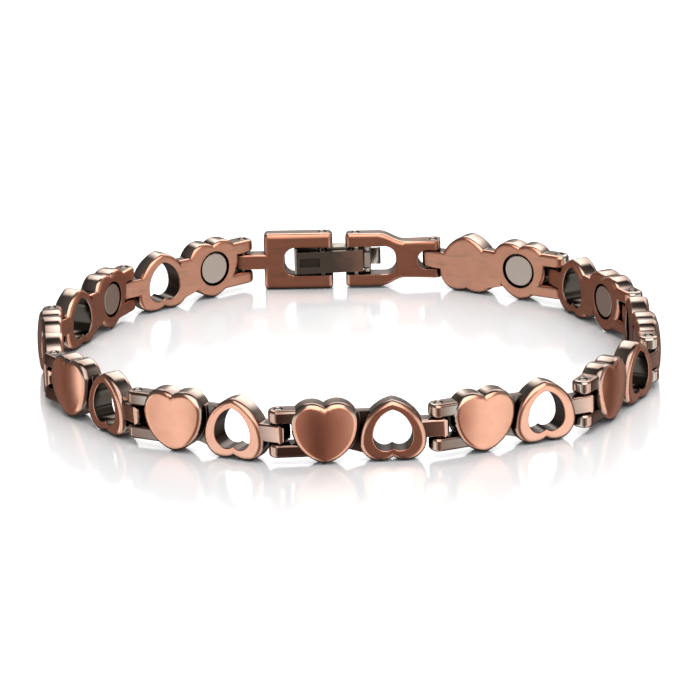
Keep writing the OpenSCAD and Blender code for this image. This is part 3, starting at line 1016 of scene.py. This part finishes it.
def makeForkedPlate():
    look = plates
    height = bandHeight - 2 * look["forkMargin"]
    plate = block("forkedPlate", (-look["earReach"], look["forkEnd"]), (look["outer"], look["wrist"]),
                  centred(height))
    steps = look["shoulderSteps"]
    shares = {-look["earReach"]: look["neckHeight"] / height}
    for step in range(steps + 1):
        x = look["neckLength"] + look["shoulderLength"] * step / steps
        swell = (1 - math.cos(math.pi * step / steps)) / 2
        shares[x] = (look["neckHeight"] + (height - look["neckHeight"]) * swell) / height
        pick(plate, "FACE", lambda c, n: True)
        bpy.ops.mesh.bisect(plane_co=(x, 0, 0), plane_no=(1, 0, 0))
    for x, share in shares.items():
        pick(plate, "VERT", lambda p: abs(p.x - x) < near)
        bpy.ops.transform.resize(value=(1, 1, share), center_override=(0, 0, 0))
    roundEdges(plate, look["cornerRound"], 5,
               lambda a, b: min(a.x, b.x) > look["forkEnd"] - near and abs(a.y - b.y) > 1)
    roundEdges(plate, look["earEndRound"], 7,
               lambda a, b: max(a.x, b.x) < near - look["earReach"] and abs(a.z - b.z) > 1)
    slotHalf = joints["slotHeight"] / 2
    roundX = look["earSlotDepth"] - slotHalf
    earSlot = block("slot", (look["earSlotFrom"], roundX), through, centred(2 * slotHalf))
    combine(earSlot, rod("end", slotHalf, through[1] - through[0], (roundX, 0, 0), "Y", 40))
    carve(plate, earSlot)
    carve(plate, slotTool(look["forkWeb"], look["forkEnd"] + overshoot))

    def inSlot(m):
        return (abs(m.z) < slotHalf + near and m.x < look["earSlotDepth"] + near) or (
            abs(m.z) < look["slotHeight"] / 2 + near and m.x > look["forkWeb"] - near)

    roundPlateEdges(plate, inSlot)
    drillPinHole(plate, 0, look["neckHeight"])
    drillPinHole(plate, forkCrossX, height)
    return plate


cover = {
    "outer": -1.25,
    "metal": 0.4,
    "sideGap": 0.15,
    "endGap": 1.15,
    "flangeReach": 0.35,
    "flangeStart": 0.25,    # before the end of the forked plate
    "hingeOffset": 1.3,
    "tailLength": 1.5,
    "tailHeight": 1.9,
    "tailThinner": 0.005,
    "knuckleRadius": 0.38,
    "knuckleHeight": 1.7,
    "runGap": 0.08,
    "hingeHole": 0.25,
    "notchRadius": 0.5,
    "wallInner": 0.97,      # wrist face of the end wall
    "edgeRound": 0.09,
}
coverHeight = plates["slotHeight"] - 2 * cover["sideGap"]
coverEndX = tonguePlateEnd - plates["tongueWeb"] - cover["endGap"]
hingeX = forkCrossX - cover["hingeOffset"]


def makeCover():
    look = cover
    wall = look["metal"]
    outer, inner = look["outer"], look["outer"] + wall
    left = hingeX - look["knuckleRadius"]
    piece = block("cover", (left, coverEndX), (outer, inner), centred(coverHeight))
    combine(piece, block("tail", (hingeX - look["tailLength"], hingeX), (outer, inner - look["tailThinner"]),
                         centred(look["tailHeight"])))
    lugLow = look["knuckleHeight"] / 2 + look["runGap"]
    lugHeight = coverHeight / 2 - lugLow
    for side in (-1, 1):
        flangeZ = side * (coverHeight - wall) / 2
        flangeX = (plates["forkEnd"] - look["flangeStart"], coverEndX)
        combine(piece, block("flange", flangeX, (outer, look["flangeReach"]), centred(wall, flangeZ)))
        lugZ = side * (lugLow + lugHeight / 2)
        lugX = (left, hingeX + look["knuckleRadius"])
        combine(piece, block("lug", lugX, (outer, 0), centred(lugHeight, lugZ)))
        combine(piece, rod("lugEnd", look["knuckleRadius"], lugHeight, (hingeX, 0, lugZ), sides=40))
    combine(piece, block("wall", (coverEndX - wall, coverEndX), (outer, look["wallInner"]),
                         centred(coverHeight)))
    cutHeight = coverHeight + 2 * overshoot
    notch = rod("notch", look["notchRadius"], cutHeight, (tongueCrossX, 0, 0), sides=40)
    combine(notch, block("mouth", centred(2 * look["notchRadius"], tongueCrossX), (0, 1), centred(cutHeight)))
    carve(piece, notch)
    carve(piece, rod("drill", look["hingeHole"], cutHeight, (hingeX, 0, 0), sides=32))
    softenAll(piece, look["edgeRound"])
    return piece


blade = {
    "height": 2.5,
    "thick": 0.5,
    "face": 1.05,           # wrist face at the hinge end, from the pin line
    "slope": 6.0,
    "armDepth": (-0.1, 0.35),
    "barWidth": 0.66,       # over the knuckle, beside the blade's end
    "barTop": 0.75,
    "eyeRadius": 0.68,
    "postInset": 0.2,
    "eyeGap": 0.2,
    "windowLength": 2.3,
    "windowHeight": 1.1,
    "windowDepth": 0.22,
    "windowRound": 0.15,
    "edgeRound": 0.08,
}


def makeBlade():
    look = blade
    slope = math.radians(look["slope"])
    start = hingeX + cover["knuckleRadius"] + cover["runGap"]
    length = (coverEndX - cover["metal"] - start) / math.cos(slope)
    flat = block("blade", (0, length), (-look["thick"], 0), centred(look["height"]))
    margin = look["thick"] / 2
    window = block("window", (length - margin - look["windowLength"], length - margin),
                   (-look["windowDepth"], 1), centred(look["windowHeight"]))
    roundEdges(window, look["windowRound"], 3, lambda a, b: abs(a.y - b.y) > 0.1)
    carve(flat, window)
    holdOnly(flat)
    flat.rotation_euler = (0, 0, slope)
    flat.location = (start, look["face"], 0)
    bpy.ops.object.transform_apply()
    knuckle = cover["knuckleHeight"]
    postX = (start, start + look["thick"] / 2)
    combine(flat, block("arm", (hingeX, postX[1]), look["armDepth"], centred(knuckle)))
    postY = (look["postInset"], look["face"] - look["postInset"])
    combine(flat, block("post", postX, postY, centred(knuckle)))
    combine(flat, block("bar", centred(look["barWidth"], hingeX), (0, look["barTop"]), centred(knuckle)))
    combine(flat, rod("knuckle", cover["knuckleRadius"], knuckle, (hingeX, 0, 0), sides=40))
    spare = 2 * overshoot
    eyeHeight = coverHeight - 2 * cover["metal"] - 2 * look["eyeGap"]
    stemY = look["face"] + (tongueCrossX - start) * math.tan(slope) - look["thick"] / 2
    combine(flat, block("stem", centred(look["eyeRadius"], tongueCrossX), (0, stemY), centred(eyeHeight)))
    combine(flat, rod("eye", look["eyeRadius"], eyeHeight, (tongueCrossX, 0, 0), sides=48))
    carve(flat, rod("drill", joints["holeRadius"], eyeHeight + spare, (tongueCrossX, 0, 0), sides=40))
    carve(flat, rod("drill", cover["hingeHole"], knuckle + spare, (hingeX, 0, 0), sides=32))
    softenAll(flat, look["edgeRound"])
    return flat


claspHeading = headingFrom(hingePins[-1], hingePins[0])


claspMarks = {
    # Depths from the pin line where a mark starts on the plates, and where it is full
    "faceRubbed": (0.55, 0.9),
    "wallRubbed": (0.96, 1.09),     # the walls of the slots
    "wallShaded": (1.09, 0.95),
    "wallShade": 0.15,
    # The same on the cover by the height, and by the distances from its end and its hinge
    "flangeAtHeight": (1.3, 1.45),
    "flangeBeforeEnd": (0.5, 0.6),
    "lugAtHeight": (0.8, 0.9),
    "lugRoundHinge": (0.5, 0.4),
    "shadedBeforeEnd": (0.5, 0.4),
    "shadedPastHinge": (0.4, 0.5),
    "coverShade": 0.7,
    "knuckleEnd": (0.42, 0.36),     # on the blade, from the hinge
    "runningRubbed": 0.8,
    "windowReach": 3.4,             # no corner of the window lies further from the cover's end
    "windowSunk": 0.1,
    "windowShade": 0.6,
}


def plateMarks(p):
    look = claspMarks
    depth, height = abs(p.y), abs(p.z)
    margin = 2 * near
    inPinSlot = height < joints["slotHeight"] / 2 + margin and p.x < plates["earSlotDepth"] + margin
    between = plates["forkWeb"] - margin < p.x < tonguePlateEnd - plates["tongueWeb"] + margin
    if inPinSlot or (between and height < plates["slotHeight"] / 2 + margin):
        return rise(depth, *look["wallRubbed"]), 0.0, look["wallShade"] * rise(depth, *look["wallShaded"])
    return rise(depth, *look["faceRubbed"]), 0.0, 0.0


def coverMarks(p):  # the flanges slide between the plates and the lugs turn, which keeps them bright
    look = claspMarks
    beforeEnd, height = coverEndX - p.x, abs(p.z)
    flange = rise(height, *look["flangeAtHeight"]) * rise(beforeEnd, *look["flangeBeforeEnd"])
    lug = rise(abs(p.x - hingeX), *look["lugRoundHinge"]) * rise(height, *look["lugAtHeight"])
    ends = max(rise(beforeEnd, *look["shadedBeforeEnd"]), rise(hingeX - p.x, *look["shadedPastHinge"]))
    return look["runningRubbed"] * max(flange, lug), 0.0, look["coverShade"] * ends


def bladeMarks(p):  # the knuckle turns too, and the window is dark
    look = claspMarks
    face = blade["face"] + (p.x - hingeX) * math.tan(math.radians(blade["slope"]))
    inWindow = p.x > coverEndX - look["windowReach"] and abs(p.z) < blade["windowHeight"] / 2 + 2 * near
    sunk = inWindow and p.y < face - look["windowSunk"]
    return look["runningRubbed"] * rise(p.x - hingeX, *look["knuckleEnd"]), 0.0, look["windowShade"] * sunk


def addClaspPiece(piece, node, body, material, marksOf):
    smoothFinish(piece, marksOf)
    putInPlace(piece, hingePins[-1], claspHeading)
    finishPiece(piece, node, body, material)


addClaspPiece(makeTonguedPlate(), "tongued_plate", "bracelet", copper, plateMarks)
addClaspPiece(makeForkedPlate(), "forked_plate", "bracelet", copper, plateMarks)
addClaspPiece(makeCover(), "clasp_cover", "cover", coverMetal, coverMarks)
addClaspPiece(makeBlade(), "clasp_blade", "bracelet", bladeMetal, bladeMarks)
for node in ("forked_plate_pin", "tongued_plate_pin", "clasp_hinge_pin"):
    addPin(node)
for template in pinTemplates.values():
    bpy.data.objects.remove(template)
print("clasp made")


# Floor, light and camera

studio = {
    "floorSize": 6.0,
    "floorColour": (0.62, 0.625, 0.63, 1),
    "floorRoughness": 0.13,
    "floorGlaze": 2.3,
    # Brightness all round, by the azimuth in degrees: 0 is behind the camera, and it turns to the right
    "round": [(-180, 0.13), (-150, 0.2), (-127, 0.36), (-108, 0.15), (-98, 0.2), (-93, 1.9), (-86, 1.9),
              (-79, 0.85), (-65, 1.13), (-50, 1.34), (-38, 1.12), (-28, 0.6), (-12, 0.38), (-7, 0.12),
              (4, 0.12), (9, 0.36), (22, 0.45), (31, 0.82), (41, 1.32), (52, 1.42), (62, 1.25),
              (76, 1.02), (83, 1.0), (88, 1.8), (93, 1.8), (98, 0.25), (116, 0.12), (128, 0.36),
              (140, 0.6), (150, 0.26), (180, 0.13)],
    # Brightness over the bracelet, by the angle from the camera's horizon over the top to the far side
    "over": [(-180, 0.3), (-172, 0.15), (-150, 0.08), (0, 0.28), (11, 0.35), (20, 2.6), (76, 3.0),
             (84, 0.9), (91, 0.1), (110, 0.05), (120, 2.9), (150, 2.9), (157, 0.85), (165, 0.48),
             (174, 0.3), (180, 0.25)],
    # Where the bands over the bracelet take over, as a share of the way up, back, left and right
    "high": (0.12, 0.35),
    "far": (0.45, 0.8),
    "left": (-0.2, -0.45),
    "right": (0.45, 0.7),
    "besideLeft": (0.15, 0.15, 0.15, 1),    # beside the far softbox
    "besideRight": (0.35, 0.35, 0.35, 1),
    # The dim parts of the room are warm and the lit parts a little cool: dim, gain with brightness, most
    "roundTint": {"green": (0.62, 0.52, 1.2), "blue": (0.48, 0.72, 1.3)},
    "overTint": {"green": (0.9, 0.1, 1.0), "blue": (0.86, 0.14, 1.0)},
    "topPower": 7.8,
    "topSize": 1.0,
    "topHeight": 0.9,
    "farPower": 12,
    "farWidth": 2.4,
    "farHeight": 0.9,
    "farDistance": 1.3,
}


def makeFloor():
    holdOnly(None)
    bpy.ops.mesh.primitive_plane_add(size=studio["floorSize"], location=(0, 0, -0.00002))
    floor = bpy.context.object
    floor.name = "floor"
    bpy.ops.object.transform_apply()
    material, tree, shader = startMaterial("White Acrylic", metallic=0.0)
    shader.inputs["Base Color"].default_value = studio["floorColour"]
    shader.inputs["Roughness"].default_value = studio["floorRoughness"]
    shader.inputs["IOR"].default_value = studio["floorGlaze"]
    floor.data.materials.append(material)
    floor.visible_glossy = False
    return floor


def bands(tree, name, along, across, tint):
    # A colour ramp over the angle between two directions
    angle = calculate(tree, "ARCTAN2", along, across)
    turn = calculate(tree, "MULTIPLY_ADD", angle, 0.5 / math.pi, 0.5)
    ramp = addNode(tree, "ShaderNodeValToRGB")
    tree.links.new(turn, ramp.inputs[0])
    stops = ramp.color_ramp
    stops.interpolation = "EASE"
    last = len(studio[name]) - 1

    def tinted(bright, dim, gain, most):
        return bright * min(dim + bright * gain, most)

    for number, (degrees, bright) in enumerate(studio[name]):
        if number in (0, last):
            stop = stops.elements[0 if number == 0 else -1]
        else:
            stop = stops.elements.new((degrees + 180) / 360)
        stop.color = (bright, tinted(bright, *tint["green"]), tinted(bright, *tint["blue"]), 1)
    return ramp.outputs[0]


def makeWorld():
    # White to the camera; to the metal, a room with tall softboxes at the sides and one high at the far side
    world = bpy.data.worlds.new("Studio")
    bpy.context.scene.world = world
    world.use_nodes = True
    tree = world.node_tree
    axes = axesOf(tree, addNode(tree, "ShaderNodeTexCoord").outputs["Generated"])
    toCamera = calculate(tree, "MULTIPLY", axes["Y"], -1.0)
    around = bands(tree, "round", axes["X"], toCamera, studio["roundTint"])
    over = bands(tree, "over", axes["Z"], toCamera, studio["overTint"])
    high = remap(tree, axes["Z"], *studio["high"])
    far = remap(tree, axes["Y"], *studio["far"])
    share = calculate(tree, "MAXIMUM", high, far)
    toLeft = remap(tree, axes["X"], *studio["left"])
    toRight = remap(tree, axes["X"], *studio["right"])
    over = blendColours(tree, toLeft, over, studio["besideLeft"])
    over = blendColours(tree, toRight, over, studio["besideRight"])
    room = tree.nodes["Background"]
    tree.links.new(blendColours(tree, share, around, over), room.inputs["Color"])
    seen = addNode(tree, "ShaderNodeBackground")
    seen.inputs["Color"].default_value = (1, 1, 1, 1)
    path = addNode(tree, "ShaderNodeLightPath")
    mixed = addNode(tree, "ShaderNodeMixShader")
    tree.links.new(path.outputs["Is Camera Ray"], mixed.inputs[0])
    tree.links.new(room.outputs[0], mixed.inputs[1])
    tree.links.new(seen.outputs[0], mixed.inputs[2])
    tree.links.new(mixed.outputs[0], tree.nodes["World Output"].inputs["Surface"])


def makeSoftbox(name, azimuth, elevation, distance, width, height, power):
    # Azimuth 0 is in front of the bracelet, where the camera stands, and turns to the right
    holdOnly(None)
    a, e = math.radians(azimuth), math.radians(elevation)
    at = Vector((math.sin(a) * math.cos(e), -math.cos(a) * math.cos(e), math.sin(e))) * distance
    bpy.ops.object.light_add(type="AREA", location=at)
    light = bpy.context.object
    light.name = name
    light.rotation_euler = at.to_track_quat("Z", "Y").to_euler()
    light.data.shape = "RECTANGLE"
    light.data.size = width
    light.data.size_y = height
    light.data.energy = power
    light.visible_camera = False
    return light


view = {
    "place": (0.000294, -0.529817, 0.169812),
    "depression": 17.56,
    "roll": -1.516,
    "lens": 263.13,
    "sensor": 36,
}


def makeCamera():
    bpy.ops.object.camera_add()
    camera = bpy.context.object
    tilt = Matrix.Rotation(math.radians(90 - view["depression"]), 4, "X")
    roll = Matrix.Rotation(math.radians(view["roll"]), 4, "Z")
    camera.matrix_world = Matrix.Translation(Vector(view["place"])) @ tilt @ roll
    camera.data.lens = view["lens"]
    camera.data.sensor_width = view["sensor"]
    camera.data.clip_start = 0.01
    camera.data.clip_end = 20
    bpy.context.scene.camera = camera


floor = makeFloor()
makeWorld()
fill = makeSoftbox("overhead fill", 0, 90, studio["topHeight"], studio["topSize"], studio["topSize"],
                   studio["topPower"])
fill.visible_glossy = False
# A white card beyond the bracelet, which only the floor mirrors
card = makeSoftbox("far card", 180, 18, studio["farDistance"], studio["farWidth"], studio["farHeight"],
                   studio["farPower"])
onlyFloor = bpy.data.collections.new("Mirrored By The Floor")
onlyFloor.objects.link(floor)
card.light_linking.receiver_collection = onlyFloor
makeCamera()
bpy.context.scene.view_settings.view_transform = "Standard"
print("studio made")
